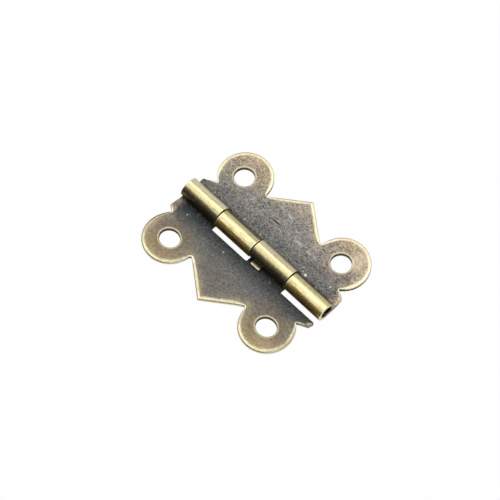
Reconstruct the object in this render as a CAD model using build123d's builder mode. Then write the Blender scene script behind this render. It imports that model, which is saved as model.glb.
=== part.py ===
"""Decorative butterfly hinge: two stamped leaves rolled round one pin."""

from build123d import *
import math
import os

# Barrel, pin and sheet, mm
barrel_length = 20.0
barrel_diameter = 2.14
sheet_thickness = 0.5
pin_diameter = 1.08
pin_length = 19.0
pin_chamfer = 0.1
knuckle_count = 4
knuckle_gap = 0.12

# Plan of one leaf, mm, from the middle of its own length and the barrel's axis
leaf_length = 19.66
leaf_reach = 8.1
slot_reach = 1.52
ear_spacing = 13.96
ear_reach = 5.19
ear_diameter = 5.9
hole_diameter = 2.12
tip_slope = 37.3
end_reach = 2.28
end_slope = 30.5

# Roundings of the plan's corners, mm
notch_radius = 0.2
root_radius = 0.06
corner_radius = 0.15
slot_corner_radius = 0.1

# Bevels of the sheet's upper edge, drawn down by the punch, and of its lower edge, mm
punched_bevel = 0.12
lower_bevel = 0.05

# Gap between the rolled end of the sheet and the leaf that it comes back to, mm
seam_gap = 0.08

# Small lip where one knuckle's rolled end turns out over its leaf, mm
lip_offset = 0.52
lip_length = 1.48
lip_inner = 0.75
lip_reach = 1.42
lip_thickness = 0.22
lip_clearance = 0.03
lip_roll = 0.08

# How near an edge or corner is to the place it is picked by, mm
pick_reach = 0.02

# Worked out from the values above
barrel_radius = barrel_diameter / 2
bore_radius = barrel_radius - sheet_thickness
knuckle_pitch = barrel_length / knuckle_count
leaf_shift = (barrel_length - leaf_length) / 2
half_leaf = leaf_length / 2
half_spacing = ear_spacing / 2
seam_angle = math.degrees(math.asin((bore_radius - seam_gap) / barrel_radius))
roll_sweep = 270 + seam_angle
lip_floor = sheet_thickness + lip_clearance

# A leaf owns every second knuckle, and its last one ends the barrel
inner_start = -knuckle_pitch + knuckle_gap / 2
inner_end = -knuckle_gap / 2
outer_start = knuckle_pitch + knuckle_gap / 2
outer_end = barrel_length / 2
knuckles = [(inner_start, inner_end), (outer_start, outer_end)]


def corners_at(sketch, points):
    """The sketch's corners that lie at the given points of its plane."""
    return [v for v in sketch.vertices() if any(math.dist((v.X, v.Y), p) < pick_reach for p in points)]


def leaf_blank():
    """Plan of the flat sheet: end tabs, ears with holes, pointed middle and knuckle strips."""
    tab_rise = (half_leaf - half_spacing) * math.tan(math.radians(end_slope))
    tip_fall = half_spacing * math.tan(math.radians(tip_slope))
    side = [
        (half_leaf, slot_reach),
        (half_leaf, end_reach),
        (half_spacing, end_reach + tab_rise),
        (half_spacing, leaf_reach - tip_fall),
    ]
    tip = (0, leaf_reach)
    other_side = [(-x, y) for x, y in reversed(side)]
    ears = [(half_spacing, ear_reach), (-half_spacing, ear_reach)]
    strips = [(start - leaf_shift, end - leaf_shift) for start, end in knuckles]
    with BuildSketch(Plane((leaf_shift, 0, 0))) as blank:
        with BuildLine():
            Polyline(*side, tip, *other_side, close=True)
        make_face()
        with Locations(*ears):
            Circle(ear_diameter / 2)
        notches = [v for v in blank.vertices() if pick_reach < abs(v.X) < half_spacing]
        fillet(notches, notch_radius)
        roots = [v for v in blank.vertices() if abs(v.X) > half_spacing and v.Y > end_reach + pick_reach]
        fillet(roots, root_radius)
        for start, end in strips:
            with Locations(((start + end) / 2, slot_reach / 2)):
                Rectangle(end - start, slot_reach)
        fillet(corners_at(blank, [tip, side[1], other_side[-2], other_side[-1]]), corner_radius)
        slot_corners = [(x, slot_reach) for x in (*strips[0], strips[1][0])]
        fillet(corners_at(blank, slot_corners), slot_corner_radius)
        with Locations(*ears):
            Circle(hole_diameter / 2, mode=Mode.SUBTRACT)
    return blank


def roll_section(x):
    """Section of a knuckle: the sheet rolled up round the pin and back down to its own leaf."""
    with BuildSketch(Plane.YZ.offset(x)) as section:
        with BuildLine():
            outside = CenterArc((0, barrel_radius), barrel_radius, -90, -roll_sweep)
            inside = CenterArc((0, barrel_radius), bore_radius, -90, -roll_sweep)
            Line(outside @ 0, inside @ 0)
            Line(outside @ 1, inside @ 1)
        make_face()
    return section


def make_lip():
    """Lip of one seam: a tongue of the rolled end that turns out over its own leaf."""
    with BuildPart() as lip:
        with BuildSketch(Plane.YZ.offset(inner_end - lip_offset - lip_length)):
            with Locations(((lip_inner + lip_reach) / 2, lip_floor + lip_thickness / 2)):
                Rectangle(lip_reach - lip_inner, lip_thickness)
        extrude(amount=lip_length)
        fillet(lip.faces().sort_by(Axis.Y)[-1].edges().filter_by(Axis.X), lip_roll)
    return lip


def at_rolled_end(spot):
    """Whether a point lies where the rolled sheet comes back down to its own leaf."""
    return spot.Y > 0 and sheet_thickness < spot.Z < barrel_radius


def make_leaf():
    """One leaf as stamped and rolled, with its flat towards +Y."""
    blank = leaf_blank()
    with BuildPart() as leaf:
        add(blank.sketch)
        extrude(amount=sheet_thickness)
        for start, end in knuckles:
            extrude(roll_section(start).sketch, amount=end - start, dir=(1, 0, 0))
        for height, bevel in ((sheet_thickness, punched_bevel), (0, lower_bevel)):
            level = leaf.edges().filter_by_position(Axis.Z, height, height)
            chamfer([e for e in level if e.is_closed or e.center().Y > pick_reach], bevel)
        rolled_ends = [e for e in leaf.edges().filter_by(Axis.X) if at_rolled_end(e.center())]
        chamfer(rolled_ends, lower_bevel)
    return leaf


# The leaf towards +Y, with the knuckles at and before the barrel's near end
with BuildPart() as back_leaf:
    add(make_leaf().part)

# The same stamping turned end for end, with the lip on its inner knuckle
with BuildPart() as front_leaf:
    add(make_leaf().part, rotation=(0, 0, 180))
    add(make_lip().part, rotation=(0, 0, 180))

# Plain pin, a little shorter than the barrel
with BuildPart() as hinge_pin:
    with BuildSketch(Plane.YZ.offset(-pin_length / 2)):
        with Locations((0, barrel_radius)):
            Circle(pin_diameter / 2)
    extrude(amount=pin_length)
    chamfer(hinge_pin.edges().filter_by(GeomType.CIRCLE), pin_chamfer)

back_leaf.part.label = "back_leaf"
front_leaf.part.label = "front_leaf"
hinge_pin.part.label = "hinge_pin"

os.makedirs("parts", exist_ok=True)
export_step(back_leaf.part, "parts/back_leaf.step")
export_step(front_leaf.part, "parts/front_leaf.step")
export_step(hinge_pin.part, "parts/hinge_pin.step")
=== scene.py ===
"""Decorative butterfly hinge: two stamped leaves in worn antique bronze, rolled round a wire pin."""

import math
from functools import partial
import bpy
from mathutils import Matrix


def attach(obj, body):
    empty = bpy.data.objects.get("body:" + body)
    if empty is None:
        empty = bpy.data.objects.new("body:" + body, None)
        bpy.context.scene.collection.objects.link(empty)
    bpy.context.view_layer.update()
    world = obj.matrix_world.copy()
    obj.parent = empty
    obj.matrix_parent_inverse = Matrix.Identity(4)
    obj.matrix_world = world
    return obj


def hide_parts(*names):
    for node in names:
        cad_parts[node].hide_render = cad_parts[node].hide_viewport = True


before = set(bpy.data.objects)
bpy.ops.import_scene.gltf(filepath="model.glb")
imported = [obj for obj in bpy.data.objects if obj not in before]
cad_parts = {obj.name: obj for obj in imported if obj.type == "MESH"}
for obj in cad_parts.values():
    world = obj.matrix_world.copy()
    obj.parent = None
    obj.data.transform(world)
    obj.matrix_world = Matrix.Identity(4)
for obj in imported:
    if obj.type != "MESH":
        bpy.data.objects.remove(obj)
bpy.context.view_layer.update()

from types import SimpleNamespace

import bpy
import numpy as np
from mathutils import Vector
from mathutils.geometry import delaunay_2d_cdt

METRES = 0.001  # one millimetre

# Barrel and sheet, mm
barrel_length = 20.0
barrel_radius = 1.07
sheet_thickness = 0.5
knuckle_pitch = 5.0
knuckle_gap = 0.12
roll_sweep = math.radians(297.3)

# Plan of one leaf, mm: u from the middle of its own length, and v from the barrel's axis
half_leaf = 9.83
leaf_reach = 8.1
slot_reach = {"front_leaf": 1.53, "back_leaf": 1.40}
loose_slot_reach = {"front_leaf": 1.58, "back_leaf": 1.42}
half_spacing = 6.98
ear_reach = 5.19
ear_radius = 2.95
hole_radii = {"front_leaf": (1.13, 1.02), "back_leaf": (1.10, 1.08)}
hole_shift = {"front_leaf": (-0.055, 0.12), "back_leaf": (-0.09, -0.08)}
tip_slope = math.radians(37.3)
knuckle_end = {"front_leaf": (9.83, 2.54), "back_leaf": (9.83, 2.3)}
knuckle_slope = math.radians(29)
loose_end = {"front_leaf": (9.97, 2.34), "back_leaf": (9.98, 1.95)}
loose_slope = {"front_leaf": math.radians(24), "back_leaf": math.radians(28.5)}

# Roundings of the plan's corners, mm
notch_radius = 0.2
root_radius = 0.06
corner_radius = 0.15
slot_corner_radius = {"front_leaf": 0.1, "back_leaf": 0.26}
strip_corner_radius = 0.12

# Inner corners of the plan, either side of an ear, mm
inner_corners = ((4.04, 5.03), (8.80, 2.90))

# Width and depth of the roundings on the sheet's upper side, mm
upper_edge = {"front_leaf": (0.42, 0.31), "back_leaf": (0.34, 0.09)}
slot_edge = (0.08, 0.05)
mouth_edge = (0.28, 0.24)
hole_edge = (0.12, 0.13)

# Width and depth of the roundings on its lower side, which the roll turns outwards, mm
lower_edge = {"front_leaf": (0.14, 0.17), "back_leaf": (0.06, 0.05)}
slot_lower_edge = (0.10, 0.08)
roll_edge = (0.05, 0.04)
hole_lower_edge = (0.04, 0.03)

# Where the slots' lower edge, the outline's broad rounding and the bore's mouth begin, mm
slot_edge_start = 1.0
upper_edge_start = 1.7
upper_edge_blend = 0.7
corner_start = 0.1
corner_blend = 1.1
mouth_start = 9.4

# Small lip of one knuckle's rolled end: its length, reach, thickness, edge and middle, mm
lip_length = 1.27
lip_reach = 0.62
lip_thickness = 0.22
lip_edge = (0.12, 0.09)
lip_middle = (1.32, -1.22, 0.53)
lip_corner_radius = 0.18

# Spacing of the mesh, mm
edge_step = 0.1
arc_step = 0.09
grid_step = 0.12
ring_insets = (0.004, 0.016, 0.036, 0.064, 0.094)
grid_inset = 0.15
shortest_edge = 0.001
merge_distance = 1e-7

# Fewest steps that an arc is divided into
fewest_steps = 5

# How far the roll's outside and its bore lean towards the other leaf, and how much looser it is rolled, mm
roll_lean = {"front_leaf": 0.05, "back_leaf": 0.09}
bore_lean = {"front_leaf": 0.03, "back_leaf": 0.015}
roll_slack = {"front_leaf": 0.04, "back_leaf": 0.0}

# How far the barrel and each leaf's flat are off their true places, and where one gives way, mm
barrel_shift = (0.12, 0.0)
flat_shift = {"front_leaf": (-0.05, 0.06), "back_leaf": (0.03, 0.02)}
shift_start = 2.4
shift_blend = 1.0

# How far the leaf's end stands back from its outer knuckle's end, mm
end_setback = {"front_leaf": 0.12, "back_leaf": 0.06}
end_blend = 0.6
ear_start = 2.9

# Dent in the barrel's far end: its depth in mm, and its middle and width as angles
dent_depth = {"front_leaf": 0.11, "back_leaf": 0.0}
dent_middle = math.radians(188)
dent_width = math.radians(58)

# Floor: its reach and gap in m, how clear it is to rays, and its paper
floor_reach = 1.5
floor_gap = 0.00002
clear_share = 0.97
paper_noise = (900.0, 2.0)
paper_tones = (0.86, 0.90)

# Levels of light in the room, and the directions in which its parts begin and end
room_dim = 0.20
room_light = 0.70
room_side = 0.80
window_span = (-0.3, 0.9)
window_end = (-0.4, -0.65)
window_loss = 0.8
window_rise = (-0.45, 0.05)
panel_span = (0.45, 0.75)
panel_end = (-0.1, 0.3)
horizon = (-0.02, 0.02)
paper_span = (-0.6, -0.25)

# Lamp: its size and place in m, and its level
softbox_size = (0.56, 0.63)
softbox_place = (-0.11, -0.065, 0.30)
softbox_level = 1.1

# Camera: degrees, mm of sensor and lens, and metres
camera_azimuth = 45.52
camera_elevation = 62.89
camera_sensor = 36.0
camera_lens = 164.58
camera_distance = 0.23209
camera_target = (-0.000612, -0.000215, 0.0)
camera_near = 0.01

# Worked out from the values above
leaf_shift = barrel_length / 2 - half_leaf
middle_radius = barrel_radius - sheet_thickness / 2
strip_reach = middle_radius * roll_sweep
inner_strip = (-knuckle_pitch + knuckle_gap / 2 - leaf_shift, -knuckle_gap / 2 - leaf_shift)
outer_strip = (knuckle_pitch + knuckle_gap / 2 - leaf_shift, half_leaf)


def arc(centre, radius, start, end):
    """Points of an arc from one angle to another."""
    count = max(fewest_steps, math.ceil(abs(end - start) * radius / arc_step))
    angles = np.linspace(start, end, count + 1)
    return np.array(centre) + radius * np.column_stack((np.cos(angles), np.sin(angles)))


def short_arc(centre, radius, start, end):
    """The shorter of the two arcs between the directions start and end."""
    first = math.atan2(start[1], start[0])
    turn = math.atan2(end[1], end[0]) - first
    turn = (turn + math.pi) % math.tau - math.pi
    return arc(centre, radius, first, first + turn)


def rounded(before, corner, after, radius):
    """Arc in place of the corner between two straight edges."""
    before, corner, after = np.array(before), np.array(corner), np.array(after)
    back = (before - corner) / np.linalg.norm(before - corner)
    ahead = (after - corner) / np.linalg.norm(after - corner)
    middle = (back + ahead) / np.linalg.norm(back + ahead)
    half_angle = math.acos(back @ middle)
    centre = corner + middle * radius / math.sin(half_angle)
    tangent = radius / math.tan(half_angle)
    return short_arc(centre, radius, corner + back * tangent - centre, corner + ahead * tangent - centre)


def ear_fillet(point, along, outward, radius, side):
    """Centre of the arc that rounds the inner corner between a straight edge and the ear."""
    ear = np.array((half_spacing, ear_reach)) - point
    rise = radius - outward @ ear
    run = side * math.sqrt((ear_radius + radius) ** 2 - rise**2)
    return point + along * (along @ ear + run) + outward * radius


def ear_side(end, slope):
    """Outline from one end of the leaf, round its ear, to the pointed middle."""
    ear = np.array((half_spacing, ear_reach))
    end = np.array(end)
    end_along = np.array((-math.cos(slope), math.sin(slope)))
    end_out = np.array((math.sin(slope), math.cos(slope)))
    tip = np.array((0, leaf_reach))
    tip_along = np.array((-math.cos(tip_slope), math.sin(tip_slope)))
    tip_out = np.array((math.sin(tip_slope), math.cos(tip_slope)))
    root = ear_fillet(end, end_along, end_out, root_radius, -1)
    notch = ear_fillet(tip, tip_along, tip_out, notch_radius, 1)
    start = math.atan2(*(root - ear)[::-1])
    finish = math.atan2(*(notch - ear)[::-1])
    return np.vstack((
        rounded((end[0], 0), end, end + end_along, corner_radius),
        short_arc(root, root_radius, -end_out, ear - root),
        arc(ear, ear_radius, start, finish % math.tau),
        short_arc(notch, notch_radius, ear - notch, -tip_out),
    ))


def slot_side(node):
    """Outline along the barrel: the end without a knuckle, the slots and the strips that roll up."""
    loose_u, loose_v = loose_end[node]
    reach, loose_reach = slot_reach[node], loose_slot_reach[node]
    corners = [(-loose_u, loose_v, corner_radius), (-loose_u, loose_reach, corner_radius)]
    slot_corner = slot_corner_radius[node]
    levels = [(loose_reach, reach), (reach, reach)]
    for (start, end), (before, after) in zip((inner_strip, outer_strip), levels):
        corners += [
            (start, before, slot_corner),
            (start, -strip_reach, strip_corner_radius),
            (end, -strip_reach, strip_corner_radius),
            (end, after, slot_corner),
        ]
    arcs = []
    for before, corner, after in zip(corners, corners[1:], corners[2:]):
        arcs.append(rounded(before[:2], corner[:2], after[:2], corner[2]))
    return np.vstack(arcs)


def leaf_outline(node):
    """Outline of the flat blank, anticlockwise."""
    knuckle_side = ear_side(knuckle_end[node], knuckle_slope)
    loose_side = (ear_side(loose_end[node], loose_slope[node]) * (-1, 1))[::-1]
    tip_along = np.array((math.cos(tip_slope), -math.sin(tip_slope)))
    tip = np.array((0, leaf_reach))
    point = rounded(tip + tip_along, tip, tip + tip_along * (-1, 1), corner_radius)
    return np.vstack((knuckle_side, point, loose_side, slot_side(node)))


def hole_outline(x, node):
    """Edge of one screw hole, clockwise."""
    middle = np.array((x, ear_reach)) + hole_shift[node]
    return middle + arc((0, 0), 1, math.tau, 0) * hole_radii[node]


def closed_loop(points):
    """The outline with its straight edges divided evenly and no point twice."""
    loop = []
    for here, there in zip(points, np.roll(points, -1, axis=0)):
        length = np.linalg.norm(there - here)
        count = math.ceil(length / edge_step)
        loop += [here + (there - here) * i / count for i in range(count) if length > shortest_edge]
    return np.array(loop)


def inward(loop):
    """Direction into the sheet at each point of a loop."""
    along = np.roll(loop, -1, axis=0) - np.roll(loop, 1, axis=0)
    across = np.column_stack((-along[:, 1], along[:, 0]))
    return across / np.linalg.norm(across, axis=1)[:, None]


def measure_to_loop(points, loop):
    """Distance of each point from a loop, and whether the loop goes round it."""
    nearest = np.full(len(points), np.inf)
    crossings = np.zeros(len(points), int)
    for start, end in zip(loop, np.roll(loop, -1, axis=0)):
        edge = end - start
        from_start = points - start
        share = np.clip(from_start @ edge / (edge @ edge), 0, 1)
        nearest = np.minimum(nearest, np.linalg.norm(from_start - share[:, None] * edge, axis=1))
        spans = (start[1] > points[:, 1]) != (end[1] > points[:, 1])
        if start[1] != end[1]:
            meets = start[0] + (points[:, 1] - start[1]) * edge[0] / edge[1]
            crossings += spans & (points[:, 0] < meets)
    return nearest, crossings % 2 == 1


def inside_sheet(points, loops):
    """Whether each point is in the outline and in none of the holes."""
    return np.sum([measure_to_loop(points, loop)[1] for loop in loops], axis=0) == 1


def grid_points(low, high):
    """Points of a triangular grid over a rectangle."""
    row_step = grid_step * math.sqrt(3) / 2
    rows = np.arange(low[1], high[1], row_step)
    columns = np.arange(low[0], high[0], grid_step)
    xs = columns[None, :] + (np.arange(len(rows)) % 2)[:, None] * grid_step / 2
    ys = np.repeat(rows[:, None], len(columns), axis=1)
    return np.column_stack((xs.ravel(), ys.ravel()))


def drop(distance, edge):
    """How far a face falls away at a distance from its edge, along a quarter ellipse."""
    width, depth = edge
    share = np.clip(1 - distance / width, 0, 1)
    return depth * (1 - np.sqrt(1 - share**2))


def ring_edges(rings):
    """Edges round each ring, as pairs of point numbers that count on through all the rings."""
    edges, first = [], 0
    for ring in rings:
        numbers = range(first, first + len(ring))
        edges.append(list(zip(numbers, [*numbers[1:], numbers[0]])))
        first += len(ring)
    return edges


def inner_grid(loops):
    """Grid points in the sheet that lie clear of its edges."""
    corners = np.vstack(loops)
    grid = grid_points(corners.min(0), corners.max(0))
    clearance = np.min([measure_to_loop(grid, loop)[0] for loop in loops], axis=0)
    return grid[inside_sheet(grid, loops) & (clearance > grid_inset)]


def sheet_plan(loops):
    """Triangles over the sheet's plan, finer along its edges: points, triangles and border edges."""
    rings = loops + [loop + inward(loop) * inset for loop in loops for inset in ring_insets]
    plan = np.vstack(rings + [inner_grid(loops)])
    edges = ring_edges(rings)
    places = [Vector(point) for point in plan]
    _, _, cells, origins, *_ = delaunay_2d_cdt(places, sum(edges, []), [], 0, merge_distance)
    triangles = np.array([[origins[corner][0] for corner in cell] for cell in cells])
    triangles = triangles[inside_sheet(plan[triangles].mean(1), loops)]
    return plan, triangles, sum(edges[:len(loops)], [])


def stamped_sheet(outlines, thickness, round_over):
    """Flat sheet with rounded edges: points, faces and distances from its outline and its holes."""
    loops = [closed_loop(outline) for outline in outlines]
    plan, triangles, borders = sheet_plan(loops)
    distances = [measure_to_loop(plan, loop)[0] for loop in loops]
    upper_drop, lower_drop = round_over(plan, distances)
    top = np.column_stack((plan, thickness - upper_drop))
    bottom = np.column_stack((plan, lower_drop))
    count = len(plan)
    faces = [tuple(t) for t in triangles] + [tuple(t[::-1] + count) for t in triangles]
    faces += [(b, a, a + count, b + count) for a, b in borders]
    from_hole = np.min(distances[1:], axis=0) if distances[1:] else distances[0]
    return np.vstack((top, bottom)), faces, np.tile(distances[0], 2), np.tile(from_hole, 2)


def corner_distance(points):
    """Distance of each point, seen in plan, from the nearest inner corner."""
    folded = np.column_stack((np.abs(points[:, 0]), points[:, 1]))
    return np.min([np.linalg.norm(folded - corner, axis=1) for corner in inner_corners], axis=0)


def rim_breadth(points):
    """Share of the broad rounding at each point: all on ears and tip, none by barrel and inner corners."""
    from_barrel = np.clip((points[:, 1] - upper_edge_start) / upper_edge_blend, 0, 1)
    return from_barrel * np.clip((corner_distance(points) - corner_start) / corner_blend, 0, 1)


def leaf_rounding(node, plan, distances):
    """How far the leaf's faces fall away: broadly at the outline and the mouth, little elsewhere."""
    outline, *holes = distances
    hole = np.min(holes, axis=0)
    share = rim_breadth(plan)
    upper = drop(outline, upper_edge[node]) * share + drop(outline, slot_edge) * (1 - share)
    by_slot, on_roll = drop(outline, slot_lower_edge), drop(outline, roll_edge)
    narrow = np.where(plan[:, 1] > slot_edge_start, by_slot, on_roll)
    lower = drop(outline, lower_edge[node]) * share + narrow * (1 - share)
    in_mouth = (plan[:, 0] > mouth_start) & (plan[:, 1] < 0)
    upper = np.where(in_mouth, drop(outline, mouth_edge), upper)
    return np.maximum(upper, drop(hole, hole_edge)), np.maximum(lower, drop(hole, hole_lower_edge))


def lip_rounding(plan, distances):
    """How far the lip's faces fall away, alike above and below."""
    fall = drop(distances[0], lip_edge)
    return fall, fall


def end_shift(u, v, angle, eased, node):
    """How far the sheet's outer end is moved in: set back at the flat, and dented on the barrel."""
    by_end = np.clip((u - half_leaf) / end_blend + 1, 0, 1) ** 2
    below_ear = np.clip((ear_start - v) / end_blend, 0, 1)
    setback = end_setback[node] * (1 - np.clip(2 * eased, 0, 1))
    dent = dent_depth[node] * np.exp(-(((angle - dent_middle) / dent_width) ** 2))
    return by_end * below_ear * (setback + dent)


def roll_up(points, node):
    """Rolls what lies below the leaf's own flat, upwards round the pin."""
    u, v, height = points.T
    angle = np.clip(-v, 0, None) / middle_radius
    eased = (1 - np.cos(np.minimum(2 * angle, math.pi))) / 2
    outside = 1 - height / sheet_thickness
    lean = (bore_lean[node] + (roll_lean[node] - bore_lean[node]) * outside) * eased
    radius = barrel_radius + roll_slack[node] * eased - height
    across = np.where(v < 0, -lean - radius * np.sin(angle), v)
    up = np.where(v < 0, barrel_radius - radius * np.cos(angle), height)
    return np.column_stack((u - end_shift(u, v, angle, eased, node), across, up))


def add_object(name, data):
    """An object in the scene with that mesh, lamp or camera."""
    made = bpy.data.objects.new(name, data)
    bpy.context.scene.collection.objects.link(made)
    return made


def make_piece(name, shell, material):
    """One object from a shell: its points, faces, places on the flat sheet and measures of each point."""
    points, faces, places, measures = shell
    mesh = bpy.data.meshes.new(name)
    mesh.from_pydata((points * METRES).tolist(), [], [tuple(map(int, face)) for face in faces])
    mesh.attributes.new("sheet_place", "FLOAT_VECTOR", "POINT").data.foreach_set("vector", places.ravel())
    for measure, values in measures.items():
        mesh.attributes.new(measure, "FLOAT", "POINT").data.foreach_set("value", values)
    mesh.shade_smooth()
    mesh.materials.append(material)
    return add_object(name, mesh)


def leaf_shell(node, side):
    """Shell of one leaf in its place; side is 1 for the leaf towards +Y and -1 for the other."""
    outlines = [leaf_outline(node), hole_outline(half_spacing, node), hole_outline(-half_spacing, node)]
    round_over = partial(leaf_rounding, node)
    points, faces, from_edge, from_hole = stamped_sheet(outlines, sheet_thickness, round_over)
    placed = (roll_up(points, node) + (leaf_shift, 0, 0)) * (side, side, 1)
    by_barrel = np.clip((shift_start - points[:, 1:2]) / shift_blend, 0, 1)
    placed[:, :2] += np.array(barrel_shift) * by_barrel + np.array(flat_shift[node]) * (1 - by_barrel)
    measures = {
        "edge_distance": from_edge,
        "hole_distance": from_hole,
        "corner_distance": corner_distance(points),
        "rim_breadth": rim_breadth(points),
    }
    return placed, faces, points, measures


def lip_shell():
    """Shell of the small lip where the rolled end turns out over its own leaf."""
    x, y = lip_length / 2, lip_reach / 2
    ring = [(-x, -y), (x, -y), (x, y), (-x, y)]
    outline = np.vstack([rounded(ring[i - 1], ring[i], ring[i - 3], lip_corner_radius) for i in range(4)])
    points, faces, from_edge, _ = stamped_sheet([outline], lip_thickness, lip_rounding)
    return points + lip_middle, faces, points, {"edge_distance": from_edge}


class Signal:
    """An output of a node, on which +, - and * add Math nodes."""

    def __init__(self, paint, socket):
        self.paint = paint
        self.socket = socket

    def __add__(self, other):
        return self.paint.maths("ADD", self, other)

    def __sub__(self, other):
        return self.paint.maths("SUBTRACT", self, other)

    def __rsub__(self, other):
        return self.paint.maths("SUBTRACT", other, self)

    def __mul__(self, other):
        return self.paint.maths("MULTIPLY", self, other)

    __radd__ = __add__
    __rmul__ = __mul__


class Paint:
    """The nodes of one material or of the world."""

    def __init__(self, tree):
        self.tree = tree
        tree.nodes.clear()

    def node(self, kind, settings=None, inputs=None, output=0):
        """Adds a node: first its settings, then the values or links of its sockets."""
        made = self.tree.nodes.new("ShaderNode" + kind)
        for name, value in (settings or {}).items():
            setattr(made, name, value)
        for key, value in (inputs or {}).items():
            if isinstance(value, Signal):
                self.tree.links.new(value.socket, made.inputs[key])
            else:
                made.inputs[key].default_value = value
        return Signal(self, made.outputs[output]) if made.outputs else made

    def maths(self, operation, *values):
        return self.node("Math", {"operation": operation}, dict(enumerate(values)))

    def vector_maths(self, operation, *values):
        return self.node("VectorMath", {"operation": operation}, dict(enumerate(values)))

    def scaled(self, vector, scale):
        """The vector with each of its parts multiplied."""
        return self.vector_maths("MULTIPLY", vector, scale)

    def shaded(self, colour, share):
        """The colour made darker or lighter."""
        return self.node("VectorMath", {"operation": "SCALE"}, {0: colour, "Scale": share})

    def parts(self, vector):
        """The three numbers of a vector."""
        made = self.node("SeparateXYZ", None, {0: vector}).socket.node
        return [Signal(self, socket) for socket in made.outputs]

    def ramp(self, value, span):
        """0 where the value is at the span's start, 1 at its end, smooth between."""
        start, end = span
        settings = {"interpolation_type": "SMOOTHSTEP"}
        return self.node("MapRange", settings, {"Value": value, "From Min": start, "From Max": end})

    def fade(self, value, span):
        """1 where the value is at the span's start, 0 at its end, smooth between."""
        return 1 - self.ramp(value, span)

    def noise(self, where, scale, detail=2.0, roughness=0.5):
        """Cloudy noise round 0.5, with about that many patches to each unit of the place."""
        inputs = {"Vector": where, "Scale": scale, "Detail": detail, "Roughness": roughness}
        return self.node("TexNoise", None, inputs)

    def ripple(self, where, kind):
        """Noise of that kind less its middle value, so that it goes both ways from 0."""
        return self.noise(where, *kind) - 0.5

    def measure(self, name):
        """A number stored on the mesh."""
        return self.node("Attribute", {"attribute_name": name}, output="Fac")

    def solid_place(self):
        """Place in the object's own space, mm."""
        return self.scaled(self.node("TexCoord", output="Object"), (1 / METRES,) * 3)

    def mix(self, share, first, second):
        """The first colour at a share of 0, the second at 1."""
        # A Mix node's colour sockets share their names with others, so they go by number.
        settings = {"data_type": "RGBA", "clamp_factor": True}
        return self.node("Mix", settings, {0: share, 6: first, 7: second}, 2)

    def bump(self, height, depth):
        """Normal for a relief of that depth, mm."""
        return self.node("Bump", None, {"Height": height, "Distance": depth * METRES, "Strength": 1.0})

    def metal(self, base, roughness, normal, bare=1.0):
        """Finishes the material as metal, bare or under a dull patina."""
        shader = self.node("BsdfPrincipled", None, {
            "Base Color": base,
            "Metallic": bare,
            "Roughness": roughness,
            "Normal": normal,
            "Specular Tint": edge_tint,
        })
        self.node("OutputMaterial", None, {"Surface": shader})


def colour(red, green, blue):
    """A colour as the shader's sockets take it."""
    return (red, green, blue, 1.0)


# Colours of the metal and its patina, and of the light and shade painted on it
worn_gold = colour(0.700, 0.605, 0.325)
# Pale gold and rim gold: worn gold that also carries painted highlights
pale_gold_highlight = colour(0.840, 0.755, 0.465)
rim_gold_and_highlight = colour(0.970, 0.880, 0.600)
edge_brown = colour(0.460, 0.385, 0.235)
# Grey of a cut end painted in shade
end_shade_grey = colour(0.430, 0.400, 0.310)
end_tan = colour(0.480, 0.380, 0.270)
patch_tan = colour(0.680, 0.540, 0.380)
# Tan of walls painted as lit, and the bore's painted shade
lit_wall_tan = colour(0.300, 0.260, 0.190)
bore_shade = colour(0.080, 0.068, 0.048)
lip_tan = colour(0.640, 0.520, 0.370)
bare_speck = colour(0.900, 0.880, 0.830)
# Near black: painted shade and shadow in corners, cuts, bore, slots and under the lip, and also the dark
# scratches and the pin's dark tone
shade_and_soot_black = colour(0.024, 0.025, 0.026)
edge_tint = colour(0.520, 0.500, 0.440)

# Noise in the metal: patches to a millimetre, detail and roughness
cloud_noise = (0.4, 3.0)
mottle_noise = (2.3, 3.0, 0.6)
grain_noise = (7.0, 2.0, 0.6)
tint_noise = (0.9, 2.0)
fleck_noise = (8.0, 1.0)
streak_noise = (1.0, 3.0, 0.6)

# How the place is shifted for the flecks and scaled for the streaks
fleck_shift = (9.0, 4.0, 2.0)
streak_scale = (0.35, 5.0, 5.0)

# Random scratches: their directions, their length and width in mm, and their level of noise
scratch_turns = (0.3, 1.25, 2.2, 2.9)
scratch_length = 0.6
scratch_width = 0.05
scratch_span = (0.69, 0.82)

# Where a placed mark fades out, as a share of its half length and half width
mark_span = (0.3, 1.0)

# Where the flat's tones come in: away from the barrel, aside from the leaf's middle or in from its edge, mm
ear_span = (2.6, 7.8)
ear_side_span = (3.0, 6.6)
inner_ear_span = (2.4, 4.2)
inner_ear_side_span = (3.5, 5.6)
edge_tone_span = (0.2, 1.3)
edge_tone_start = (2.2, 3.6)
# Where the painted shade beside the barrel fades out, mm
barrel_shade_span = (1.9, 3.9)
worn_end_span = (8.6, 9.8)
worn_end_start = (0.6, 1.4)

# Share of the ears' brown that reaches the leaf's middle
middle_brown = 0.3

# How far noise moves those places, mm
cloud_drift = 2.5
mottle_drift = 1.2
edge_drift = 0.2
barrel_shade_drift = 0.3

# Levels of noise at which slate, mauve and flecks come in, and how strongly noise shades flat and patches
slate_span = (-0.04, 0.14)
slate_mottle = 0.8
mauve_span = (0.50, 0.64)
fleck_span = (0.62, 0.80)
flat_mottle = 0.9
flat_grain = 3.0
patch_grain = 2.0

# Barrel: where it begins in mm, angles of its pale crown, a painted highlight, and how noise moves, spots
# and shades its bands
roll_span = (-1.0, -0.3)
crown_start = (2.82, 3.0)
crown_end = (3.08, 3.3)
band_streak = 0.7
band_mottle = 0.4
gold_spot_span = (0.08, 0.30)
gold_shading = 0.6

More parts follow.
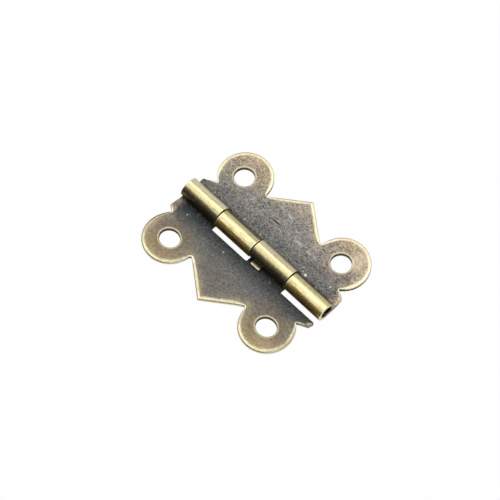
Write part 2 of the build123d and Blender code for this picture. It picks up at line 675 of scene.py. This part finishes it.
# Bare rims, worn gold with painted highlights: their spans on narrow and broad roundings, by holes and
# knuckles, and what noise adds, mm
narrow_rim = (0.04, 0.16)
broad_rim = (0.14, 0.46)
rim_start = (1.9, 3.0)
rim_mottle = 0.3
rim_grain = 0.15
hole_rim_span = (0.10, 0.26)
hole_rim_mottle = 0.2
knuckle_rim_span = (0.05, 0.13)
knuckle_rim_grain = 0.1

# Share of a knuckle's bare edge and its painted highlight that is lost in the painted shade by the seam
seam_rim_loss = 0.8

# Cut walls and the shade painted on them, in the bore, slots and holes: heights, distances from edges,
# holes, barrel and inner corners, mm
upper_span = (0.34, 0.44)
wall_span = (0.03, 0.08)
knuckle_wall_span = (0.0, 0.01)
slot_wall_span = (0.03, 0.12)
slot_shade_span = (1.5, 1.7)
hole_wall_span = (0.03, 0.07)
hole_top_span = (0.40, 0.46)
bore_shade_span = (0.2, 0.3)
corner_span = (1.9, 4.2)

# Direction of the side turned from the light, where walls are painted in shade and rims narrowed, and how
# squarely a wall or a rim has to face it
shade_direction = (0.68, -0.73)
wall_shade_span = (0.60, 0.88)
rim_shade_span = (0.05, 0.30)

# Cut end of a leaf: its place along and across, mm, and the stretch painted as lit, by angle and on the
# flat
end_span = (9.2, 9.6)
end_reach = (2.4, 2.7)
end_face_span = (0.0, 0.02)
lit_start = (0.3, 1.0)
lit_end = (3.3, 4.0)
lit_flat_span = (1.5, 2.1)

# Strength of each layer over the ones below it, painted shade and painted highlights among them
layer_share = {
    "umber": 0.7,
    "brown": 0.8,
    "edge": 0.35,
    "slate": 0.6,
    "mauve": 0.55,
    "shade_and_soot_black": 0.85,
    "scratch": 0.5,
    "gold_spot": 0.25,
    "rim": 0.9,
    "hole_rim": 0.45,
    "knuckle_rim": 0.7,
    "wall": 0.9,
    "slot_shade": 0.8,
    "hole": 0.9,
    "end": 0.9,
    "lip_shade": 0.85,
}

# Roughness and relief of the bronze, the relief in mm, and where the dull flank comes in along the barrel
bronze_roughness = 0.44
polish = 0.14
grain_roughness = 0.3
noise_relief = 0.5
scratch_relief = 0.4
streak_relief = 0.8
bronze_relief = 0.008
dull_flank_span = (-9.0, 6.0)

# Finish of the lip: level of noise, places across and up in mm of its painted shade and worn, highlighted
# edge, roughness and relief
lip_noise = (3.0, 3.0, 0.6)
lip_tone_span = (-0.15, 0.15)
lip_shade_span = (-1.42, -1.22)
lip_shade_mottle = 0.4
lip_rub_span = (0.03, 0.12)
lip_rub_mottle = 0.2
lip_rub_end = (-1.45, -1.25)
lip_underside_shade_span = (0.56, 0.64)
lip_roughness = 0.36
lip_grain_roughness = 0.2
lip_relief = 0.01

# Finish of the pin: drawn streaks, roughness and relief
drawn_noise = (1.0, 3.0)
drawn_scale = (0.4, 5.0, 5.0)
wire_roughness = 0.45
drawn_roughness = 0.1
wire_relief = 0.003


def new_material(name):
    """An empty material with nodes."""
    material = bpy.data.materials.new(name)
    material.use_nodes = True
    return material, Paint(material.node_tree)


def scratches(paint, where):
    """Fine straight scratches in several directions over the sheet."""
    stretch = (1 / scratch_length, 1 / scratch_width, 1 / scratch_length)
    found = 0.0
    for turn in scratch_turns:
        turned = paint.node("VectorRotate", {"rotation_type": "Z_AXIS"}, {"Vector": where, "Angle": turn})
        line = paint.ramp(paint.noise(paint.scaled(turned, stretch), 1.0, 0.0), scratch_span)
        found = paint.maths("MAXIMUM", line, found)
    return found


def marked(paint, place, marks):
    """Strength on each mark, from its middle, half length, half width, turn in degrees and strength."""
    found = 0.0
    for u, v, half_length, half_width, turn, strength in marks:
        near = paint.node("Mapping", {"vector_type": "TEXTURE"}, {
            "Vector": place,
            "Location": (u, v, 0),
            "Rotation": (0, 0, math.radians(turn)),
            "Scale": (half_length, half_width, barrel_length),
        })
        away = paint.node("VectorMath", {"operation": "LENGTH"}, {0: near}, "Value")
        found = paint.maths("MAXIMUM", paint.fade(away, mark_span) * strength, found)
    return found


def leaf_signals(paint, shift, rim_depth):
    """What a leaf's layers depend on: places, distances, the side that it faces and noise."""
    place = paint.node("Attribute", {"attribute_name": "sheet_place"}, output="Vector")
    u, v, height = paint.parts(place)
    facing_x, facing_y, _ = paint.parts(paint.node("TexCoord", output="Normal"))
    breadth = paint.measure("rim_breadth")
    solid = paint.vector_maths("ADD", paint.solid_place(), shift)
    return SimpleNamespace(
        place=place,
        u=u,
        v=v,
        height=height,
        breadth=breadth,
        aside=paint.maths("ABSOLUTE", u),
        turned=v * (-1 / middle_radius),
        edge=paint.measure("edge_distance"),
        hole=paint.measure("hole_distance"),
        near_corner=paint.fade(paint.measure("corner_distance"), corner_span),
        upper=paint.ramp(height + breadth * (rim_depth - slot_edge[1]), upper_span),
        on_roll=paint.fade(v, roll_span),
        at_end=paint.ramp(u, end_span) * paint.fade(v, end_reach),
        facing=facing_x * shade_direction[0] + facing_y * shade_direction[1],
        cloud=paint.ripple(solid, cloud_noise),
        mottle=paint.ripple(solid, mottle_noise),
        grain=paint.ripple(solid, grain_noise),
        streak=paint.ripple(paint.scaled(solid, streak_scale), streak_noise),
        fleck=paint.noise(paint.vector_maths("ADD", solid, fleck_shift), *fleck_noise),
        scratch=scratches(paint, place),
    )


def flat_tones(paint, at, drift, finish):
    """Tones of the flat: dark in the middle, browner on ears and rims, with clouds of slate and mauve."""
    across = middle_brown + (1 - middle_brown) * paint.ramp(at.aside, ear_side_span)
    on_ears = paint.ramp(at.v + drift, ear_span) * across
    inner_ear = paint.ramp(at.aside, inner_ear_side_span) * paint.ramp(at.v, inner_ear_span)
    by_edge = paint.fade(at.edge + drift * edge_drift, edge_tone_span) * paint.ramp(at.v, edge_tone_start)
    slate = paint.ramp(at.cloud + at.mottle * slate_mottle, slate_span) * (1 - on_ears)
    mauve = paint.ramp(paint.noise(at.place, *tint_noise), mauve_span) * (1 - on_ears)
    base = paint.mix(inner_ear * layer_share["umber"], finish["dark"], finish["umber"])
    base = paint.mix(on_ears * layer_share["brown"], base, finish["brown"])
    base = paint.mix(by_edge * layer_share["edge"], base, edge_brown)
    base = paint.mix(slate * layer_share["slate"], base, finish["slate"])
    return paint.mix(mauve * layer_share["mauve"], base, finish["mauve"])


def flat_shade_and_wear(paint, at, base, drift, finish):
    """Painted shade and a painted shadow along the barrel, the leaf's worn end, and the mottled tone of the
    whole flat.
    """
    # Painted shade on the flat beside the barrel, with a darker painted shadow right by it
    by_barrel = paint.fade(at.v + drift * barrel_shade_drift, barrel_shade_span)
    base = paint.mix(by_barrel * finish["barrel_shade_share"], base, finish["barrel_shade"])
    base = paint.mix(paint.fade(at.v, finish["barrel_shadow_span"]) * layer_share["shade_and_soot_black"], base, shade_and_soot_black)
    worn_end = paint.ramp(at.u + at.mottle, worn_end_span) * paint.ramp(at.v, worn_end_start)
    base = paint.mix(worn_end * finish["end_wear"], base, end_tan)
    return paint.shaded(base, 1 + (at.mottle * flat_mottle + at.grain * flat_grain) * finish["contrast"])


def flat_wear(paint, at, base, finish):
    """Worn patches, in places also a painted highlight, flecks, scratches and the single marks on the flat.
    """
    patches = marked(paint, at.place, finish["worn_patches"]) * (1 + at.grain * patch_grain)
    base = paint.mix(patches, base, patch_tan)
    base = paint.mix(paint.ramp(at.fleck, fleck_span) * finish["specks"], base, bare_speck)
    base = paint.mix(at.scratch * finish["specks"] * layer_share["scratch"], base, bare_speck)
    base = paint.mix(marked(paint, at.place, finish["light_marks"]), base, bare_speck)
    return paint.mix(marked(paint, at.place, finish["dark_marks"]), base, shade_and_soot_black)


def flat_patina(paint, at, finish):
    """The leaf's flat, from its tones to the last scratch."""
    drift = at.cloud * cloud_drift + at.mottle * mottle_drift
    base = flat_tones(paint, at, drift, finish)
    base = flat_shade_and_wear(paint, at, base, drift, finish)
    return flat_wear(paint, at, base, finish)


def rolled_gold(paint, at, finish):
    """The barrel by the angle from the leaf's own root: painted shade at the root, a flank painted lit on
    the front leaf and shaded on the back, a pale crown of worn gold under a painted highlight, gold, and
    painted shade on the seam side.
    """
    along = at.turned + at.streak * band_streak + at.mottle * band_mottle
    # The pale crown is a painted highlight; flank, seam side and root are painted light and shade
    crown = paint.ramp(along, crown_start) * paint.fade(along, crown_end)
    gold_spots = paint.ramp(at.mottle + at.grain, gold_spot_span)
    base = paint.mix(crown, worn_gold, pale_gold_highlight)
    base = paint.mix(paint.ramp(along, finish["flank_span"]), finish["flank"], base)
    base = paint.mix(paint.ramp(along, finish["seam_span"]), base, finish["seam"])
    base = paint.mix(gold_spots * layer_share["gold_spot"], base, worn_gold)
    base = paint.mix(paint.fade(along, finish["root_shade_span"]), base, shade_and_soot_black)
    return paint.shaded(base, 1 + at.streak + at.grain * gold_shading + at.mottle * gold_shading)


def worn_and_lit_rim(paint, at, finish):
    """Where the outline's upper edge is worn bare and painted as a highlight: broadly on ears and tip,
    narrower on the shaded side as painted shade.
    """
    # Painted highlight on the rim, partly worn gold; it narrows towards the side turned from the light
    toward_shade = paint.ramp(at.facing, rim_shade_span) * at.near_corner
    near_edge = at.edge + at.mottle * rim_mottle + at.grain * rim_grain + toward_shade * finish["rim_shade_loss"]
    span = [at.breadth * (broad - narrow) + narrow for narrow, broad in zip(narrow_rim, broad_rim)]
    return paint.fade(near_edge, span) * paint.ramp(at.v, rim_start) * at.upper


def gold_and_highlight_rims(paint, at, base, rim, finish):
    """Bare gold with painted highlights on the outline's rim, round the holes and along the knuckles'
    edges.
    """
    by_hole = paint.fade(at.hole + at.mottle * hole_rim_mottle, hole_rim_span)
    at_seam = paint.ramp(at.turned, finish["seam_span"])
    by_knuckle_edge = paint.fade(at.edge + at.grain * knuckle_rim_grain, knuckle_rim_span)
    knuckle_rim = by_knuckle_edge * at.on_roll * (1 - at_seam * seam_rim_loss)
    # Worn gold with painted highlights on rims, hole rings and knuckle edges
    base = paint.mix(rim * layer_share["rim"], base, rim_gold_and_highlight)
    base = paint.mix(by_hole * layer_share["hole_rim"], base, rim_gold_and_highlight)
    return paint.mix(knuckle_rim * layer_share["knuckle_rim"], base, pale_gold_highlight)


def painted_wall_shade(paint, at, base, finish):
    """Painted shade in the bore, on the cut walls (tan where painted as lit), in the slots and the holes,
    but not on the leaf's end.
    """
    # Painted shade: walls turned from the light dark, others tan as if lit, and dark bore, slots and holes
    shaded_side = paint.ramp(at.facing, wall_shade_span) * at.near_corner
    wall = paint.mix(shaded_side, lit_wall_tan, finish["wall"])
    on_flat = 1 - at.on_roll
    at_side = paint.fade(at.edge, wall_span) * (1 - at.upper) * on_flat
    at_side = paint.maths("MAXIMUM", at_side, paint.fade(at.edge, knuckle_wall_span) * at.on_roll)
    by_slot = paint.fade(at.edge, slot_wall_span) * paint.fade(at.v, slot_shade_span) * on_flat
    in_hole = paint.fade(at.hole, hole_wall_span) * paint.fade(at.height, hole_top_span)
    base = paint.mix(at.on_roll * paint.ramp(at.height, bore_shade_span), base, bore_shade)
    base = paint.mix(at_side * (1 - at.at_end) * layer_share["wall"], base, wall)
    base = paint.mix(by_slot * (1 - at.at_end) * layer_share["slot_shade"], base, shade_and_soot_black)
    return paint.mix(in_hole * layer_share["hole"], base, shade_and_soot_black)


def painted_end_light(paint, at, base):
    """Cut end of the leaf, painted light: pale gold where light reaches it and grey painted shade
    elsewhere.
    """
    lit_roll = paint.ramp(at.turned, lit_start) * paint.fade(at.turned, lit_end)
    end_light_and_shade = paint.mix(lit_roll + paint.ramp(at.v, lit_flat_span), end_shade_grey, rim_gold_and_highlight)
    on_face = paint.fade(at.edge, end_face_span) * at.at_end
    return paint.mix(on_face * layer_share["end"], base, end_light_and_shade)


def leaf_bronze(name, shift, finish):
    """Antique bronze: dark patina on the flat, gold with painted highlights on rims and barrel, painted
    shade in corners and cuts.
    """
    material, paint = new_material(name)
    at = leaf_signals(paint, shift, finish["rim_depth"])
    rim = worn_and_lit_rim(paint, at, finish)
    base = paint.mix(at.on_roll, flat_patina(paint, at, finish), rolled_gold(paint, at, finish))
    base = gold_and_highlight_rims(paint, at, base, rim, finish)
    base = painted_wall_shade(paint, at, base, finish)
    base = painted_end_light(paint, at, base)
    bright = paint.maths("MAXIMUM", rim, at.on_roll)
    roughness = bronze_roughness - bright * polish + at.grain * grain_roughness
    relief = at.grain * noise_relief + at.mottle * noise_relief - at.scratch * scratch_relief
    relief = relief + at.on_roll * at.streak * streak_relief
    on_flank = at.on_roll * paint.fade(at.turned, finish["flank_span"]) * paint.ramp(at.u, dull_flank_span)
    bare = 1 - on_flank * finish["flank_dull"]
    paint.metal(base, roughness, paint.bump(relief, bronze_relief), bare)
    return material


def lip_bronze():
    """The lip: painted shade under the roll and along its lower side, gold-brown outside, and worn bright
    along its edge with a painted highlight.
    """
    material, paint = new_material("bronze_lip")
    edge = paint.measure("edge_distance")
    solid = paint.solid_place()
    _, y, z = paint.parts(solid)
    mottle = paint.ripple(solid, lip_noise)
    grain = paint.ripple(solid, grain_noise)
    # Painted shade under the roll and below the lip; the bright edge is worn and also a painted highlight
    rubbed_and_lit_edge = paint.fade(edge + mottle * lip_rub_mottle, lip_rub_span) * paint.fade(y, lip_rub_end)
    shade_under_roll = paint.ramp(y + mottle * lip_shade_mottle, lip_shade_span)
    base = paint.mix(paint.ramp(mottle, lip_tone_span), edge_brown, lip_tan)
    base = paint.mix(shade_under_roll * layer_share["lip_shade"], base, shade_and_soot_black)
    base = paint.mix(rubbed_and_lit_edge, base, lip_tan)
    base = paint.mix(paint.fade(z, lip_underside_shade_span), base, shade_and_soot_black)
    roughness = lip_roughness + grain * lip_grain_roughness
    paint.metal(paint.shaded(base, 1 + grain), roughness, paint.bump(mottle, lip_relief))
    return material


def pin_wire():
    """Dull plated wire."""
    material, paint = new_material("pin_wire")
    drawn = paint.noise(paint.scaled(paint.solid_place(), drawn_scale), *drawn_noise)
    base = paint.mix(drawn, shade_and_soot_black, edge_brown)
    paint.metal(base, wire_roughness + drawn * drawn_roughness, paint.bump(drawn, wire_relief))
    return material


def ray_kinds(paint, *kinds):
    """1 for each of the given kinds of ray in turn."""
    path = paint.node("LightPath").socket.node
    return [Signal(paint, path.outputs[f"Is {kind} Ray"]) for kind in kinds]


def floor_material():
    """White paper, seen with only a faint shadow on it."""
    material, paint = new_material("white_paper")
    camera, glossy, through, shadow = ray_kinds(paint, "Camera", "Glossy", "Transmission", "Shadow")
    seen = paint.maths("MAXIMUM", camera, paint.maths("MAXIMUM", glossy, through))
    grain = paint.noise(paint.node("TexCoord", output="Object"), *paper_noise)
    darker, paler = [colour(tone, tone, tone) for tone in paper_tones]
    white = paint.node("BsdfDiffuse", None, {"Color": paint.mix(grain, darker, paler)})
    clear = paint.node("BsdfTransparent")
    share = paint.maths("MAXIMUM", seen * clear_share, shadow)
    mixed = paint.node("MixShader", None, {0: share, 1: white, 2: clear})
    paint.node("OutputMaterial", None, {"Surface": mixed})
    return material


def make_floor():
    """Large white floor just below the leaves."""
    mesh = bpy.data.meshes.new("floor")
    signs = ((-1, -1), (1, -1), (1, 1), (-1, 1))
    corners = [(x * floor_reach, y * floor_reach, -floor_gap) for x, y in signs]
    mesh.from_pydata(corners, [], [(0, 1, 2, 3)])
    mesh.materials.append(floor_material())
    floor = add_object("floor", mesh)


def make_world():
    """White below, and above a dim room with a window towards +Y and pale panels at both sides."""
    world = bpy.data.worlds.new("room")
    bpy.context.scene.world = world
    world.use_nodes = True
    paint = Paint(world.node_tree)
    camera, glossy, through = ray_kinds(paint, "Camera", "Glossy", "Transmission")
    x, y, z = paint.parts(paint.node("TexCoord", output="Generated"))
    window = paint.ramp(y, window_span) * (1 - paint.ramp(x, window_end) * window_loss)
    window = window * paint.ramp(z, window_rise)
    panels = paint.ramp(paint.maths("ABSOLUTE", x), panel_span) * paint.fade(y, panel_end)
    above = paint.ramp(z, horizon)
    room = above * (room_dim + (room_side - room_dim) * panels) + (room_light - room_dim) * window
    paper = paint.fade(z, paper_span) * paint.maths("MAXIMUM", glossy, through)
    strength = paint.maths("MAXIMUM", camera, room + paper)
    light = paint.node("Background", None, {"Color": colour(1, 1, 1), "Strength": strength})
    paint.node("OutputWorld", None, {"Surface": light})


def make_softbox():
    """Large soft lamp over the hinge."""
    lamp = bpy.data.lights.new("softbox", "AREA")
    lamp.shape = "RECTANGLE"
    lamp.size = softbox_size[0]
    lamp.size_y = softbox_size[1]
    lamp.energy = softbox_level * math.pi * softbox_size[0] * softbox_size[1]
    softbox = add_object("softbox", lamp)
    softbox.location = softbox_place
    softbox.visible_camera = False


def make_camera():
    """Camera at the photograph's own distance, angle and field of view."""
    around, above = math.radians(camera_azimuth), math.radians(camera_elevation)
    back = Vector((
        math.sin(around) * math.cos(above),
        -math.cos(around) * math.cos(above),
        math.sin(above),
    ))
    data = bpy.data.cameras.new("camera")
    data.sensor_width = camera_sensor
    data.lens = camera_lens
    data.clip_start = camera_near
    camera = add_object("camera", data)
    camera.location = Vector(camera_target) + back * camera_distance
    camera.rotation_mode = "QUATERNION"
    camera.rotation_quaternion = (-back).to_track_quat("-Z", "Y")
    bpy.context.scene.camera = camera


# Small light and dark marks of a leaf: u, v, half length and half width in mm, turn in degrees, strength
back_light_marks = [
    (5.25, 1.59, 0.23, 0.16, 1, 0.8),
    (9.87, 2.14, 0.14, 0.11, 30, 0.7),
    (4.57, 2.11, 0.1, 0.12, -3, 0.5),
    (4.78, 1.75, 0.1, 0.1, -3, 0.5),
    (8.01, 2.42, 0.11, 0.13, 3, 0.6),
    (-0.47, 5.31, 0.55, 0.07, -1, 0.3),
    (2.28, 3.6, 0.72, 0.07, 7, 0.35),
    (3.7, 3.54, 0.58, 0.08, -1, 0.3),
    (-0.43, 5.16, 0.61, 0.08, -8, 0.35),
    (2.29, 3.77, 0.81, 0.07, 6, 0.35),
    (3.70, 4.00, 0.63, 0.08, 67, 0.35),
    (4.53, 3.67, 0.46, 0.08, -16, 0.3),
    (-0.14, 6.38, 0.58, 0.07, -71, 0.25),
    (-4.70, 4.14, 0.52, 0.07, 19, 0.25),
    (-3.6, 1.68, 0.11, 0.12, -3, 0.5),
    (-1.22, 1.58, 0.11, 0.11, -9, 0.5),
]
back_dark_marks = [
    (5.50, 3.00, 1.90, 0.75, 0, 0.22),
    (8.31, 3.68, 1.20, 0.60, 60, 0.30),
    (-1.03, 3.74, 1.05, 0.12, 2, 1.0),
    (-1.43, 2.85, 0.54, 0.08, -32, 0.4),
]
front_light_marks = [
    (7.62, 2.17, 0.11, 0.14, 177, 0.4),
    (1.93, 2.55, 0.12, 0.14, 177, 0.4),
    (-3.65, 1.58, 0.1, 0.12, 177, 0.25),
    (-0.89, 3.71, 0.4, 0.08, 174, 0.12),
    (-2.75, 4.05, 0.35, 0.07, -179, 0.12),
]
front_dark_marks = [
    (0.25, 5.06, 0.49, 0.08, -119, 0.3),
]

# Larger worn patches, given in the same way; on the back leaf's ear and tip they are also a painted
# highlight
back_worn_and_lit_patches = [
    (8.05, 6.47, 1.7, 1.15, 100, 0.55),
    (0.02, 6.88, 1.6, 1.0, 90, 0.2),
    (9.66, 2.10, 0.5, 0.35, 100, 0.45),
]
front_patches = [
    (-8.10, 6.80, 1.50, 1.00, 0, 0.12),
    (-9.92, 2.01, 0.55, 0.35, 30, 0.6),
    (9.13, 2.71, 0.6, 0.4, 60, 0.3),
]

# Finish of each leaf; the front leaf's tones are painted darker than the back leaf's, as painted shade on
# the same bronze
back_lit_finish = {
    "dark": colour(0.192, 0.178, 0.163),
    "umber": colour(0.215, 0.175, 0.140),
    "brown": colour(0.400, 0.317, 0.205),
    "slate": colour(0.178, 0.184, 0.170),
    "mauve": colour(0.212, 0.176, 0.176),
    # Colour and share of the painted shade beside the barrel
    "barrel_shade": colour(0.095, 0.094, 0.084),
    "barrel_shade_share": 0.75,
    "contrast": 1.3,
    "specks": 0.45,
    # Reach of the painted shadow by the barrel, mm
    "barrel_shadow_span": (1.1, 1.8),
    "end_wear": 0.75,
    # Colour of the walls painted in shade
    "wall": colour(0.034, 0.026, 0.017),
    "rim_depth": upper_edge["back_leaf"][1],
    "rim_shade_loss": 0.16,
    "flank_dull": 0.0,
    # Barrel flank painted in shade on this leaf; seam and root colours are painted shade
    "flank": colour(0.460, 0.330, 0.120),
    "flank_span": (2.45, 2.75),
    "seam": colour(0.225, 0.206, 0.168),
    "seam_span": (3.7, 4.45),
    "root_shade_span": (1.2, 1.95),
    "worn_patches": back_worn_and_lit_patches,
    "light_marks": back_light_marks,
    "dark_marks": back_dark_marks,
}
front_shaded_finish = {
    "dark": colour(0.128, 0.122, 0.112),
    "umber": colour(0.160, 0.128, 0.083),
    "brown": colour(0.280, 0.211, 0.114),
    "slate": colour(0.116, 0.122, 0.116),
    "mauve": colour(0.134, 0.114, 0.112),
    # Colour and share of the painted shade beside the barrel
    "barrel_shade": colour(0.038, 0.043, 0.045),
    "barrel_shade_share": 0.9,
    "contrast": 0.7,
    "specks": 0.2,
    # Reach of the painted shadow by the barrel, mm
    "barrel_shadow_span": (1.3, 2.3),
    "end_wear": 0.5,
    # Colour of the walls painted in shade
    "wall": colour(0.070, 0.060, 0.043),
    "rim_depth": upper_edge["front_leaf"][1],
    "rim_shade_loss": 0.05,
    "flank_dull": 0.5,
    # Barrel flank painted lit on this leaf; seam and root colours are painted shade
    "flank": colour(0.820, 0.735, 0.500),
    "flank_span": (2.7, 2.9),
    "seam": colour(0.160, 0.132, 0.082),
    "seam_span": (3.42, 3.68),
    "root_shade_span": (0.6, 1.0),
    "worn_patches": front_patches,
    "light_marks": front_light_marks,
    "dark_marks": front_dark_marks,
}
back_bronze = leaf_bronze("bronze_back_leaf", (31.0, 0.0, 0.0), back_lit_finish)
front_bronze = leaf_bronze("bronze_front_leaf", (0.0, 57.0, 0.0), front_shaded_finish)

back_leaf = make_piece("back_leaf_sheet", leaf_shell("back_leaf", 1), back_bronze)
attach(back_leaf, "back_leaf")
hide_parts("back_leaf")

front_leaf = make_piece("front_leaf_sheet", leaf_shell("front_leaf", -1), front_bronze)
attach(front_leaf, "front_leaf")
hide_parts("front_leaf")

seam_lip = make_piece("seam_lip", lip_shell(), lip_bronze())
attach(seam_lip, "front_leaf")

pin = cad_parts["hinge_pin"]
pin.material_slots[0].material = pin_wire()

make_floor()
make_world()
make_softbox()
make_camera()
bpy.context.scene.view_settings.view_transform = "Standard"
